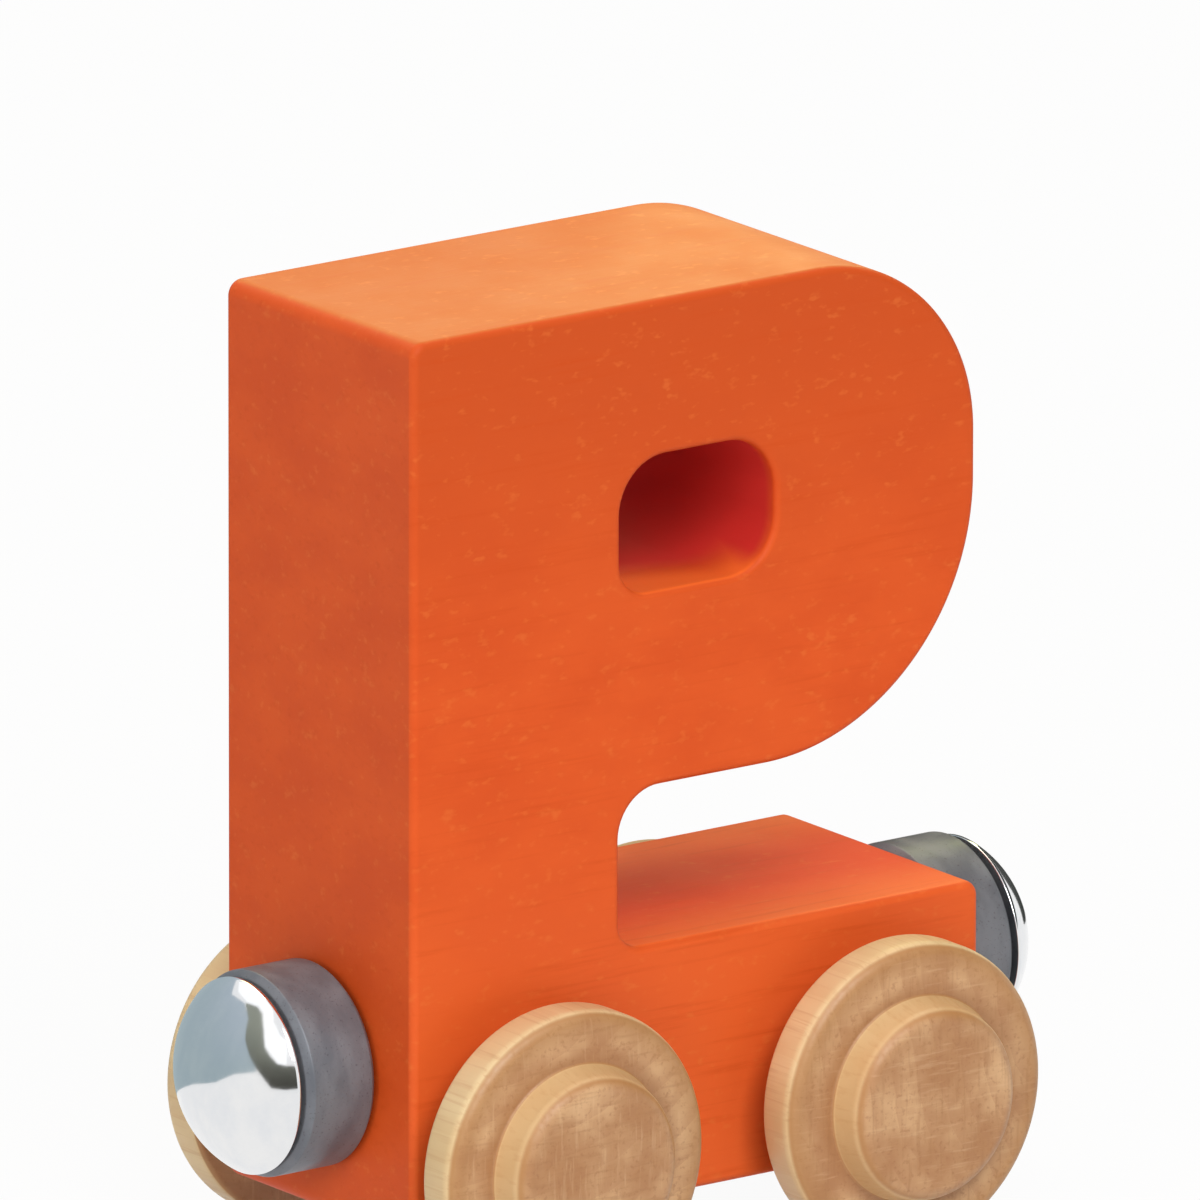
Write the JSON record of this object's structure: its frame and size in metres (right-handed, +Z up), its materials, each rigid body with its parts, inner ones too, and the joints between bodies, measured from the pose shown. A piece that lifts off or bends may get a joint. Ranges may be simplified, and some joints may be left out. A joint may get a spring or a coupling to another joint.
{
  "type": "letter train car",
  "caption": "Wooden toy train car cut as a block letter on a foot, with turned wheels on steel axles and a ring magnet coupling on a domed pin at each end.",
  "frame": {"origin": "on the track, under the middle of the car", "axes": "+X along the track towards the front end, +Y to the left side, +Z up"},
  "size_m": [0.0604, 0.0338, 0.0605],
  "materials": {
    "orange_paint": "satin orange paint on wood",
    "pale_maple": "bare turned maple, sanded",
    "axle_steel": "drawn steel rod",
    "dark_ferrite": "pressed ferrite, ground satin",
    "bright_chrome": "bright plated steel"
  },
  "bodies": {
    "car": {"letter_body": "orange_paint", "pin_front": "bright_chrome", "pin_rear": "bright_chrome"},
    "front_wheelset": {"axle_front": "axle_steel", "wheel_front_left": "pale_maple", "wheel_front_right": "pale_maple"},
    "rear_wheelset": {"axle_rear": "axle_steel", "wheel_rear_left": "pale_maple", "wheel_rear_right": "pale_maple"},
    "front_magnet": {"magnet_front": "dark_ferrite"},
    "rear_magnet": {"magnet_rear": "dark_ferrite"}
  },
  "joints": [
    {"name": "front_wheels_roll", "type": "hinge", "parent": "car", "child": "front_wheelset", "pos_m": [0.0126, 0, 0.00953], "axis": [0, 1, 0], "continuous": true},
    {"name": "rear_wheels_roll", "type": "hinge", "parent": "car", "child": "rear_wheelset", "pos_m": [-0.0126, 0, 0.00953], "axis": [0, 1, 0], "continuous": true},
    {"name": "front_magnet_turn", "type": "hinge", "parent": "car", "child": "front_magnet", "pos_m": [0.0238, 0, 0.01418], "axis": [1, 0, 0], "continuous": true},
    {"name": "rear_magnet_turn", "type": "hinge", "parent": "car", "child": "rear_magnet", "pos_m": [-0.0238, 0, 0.01418], "axis": [1, 0, 0], "continuous": true}
  ]
}
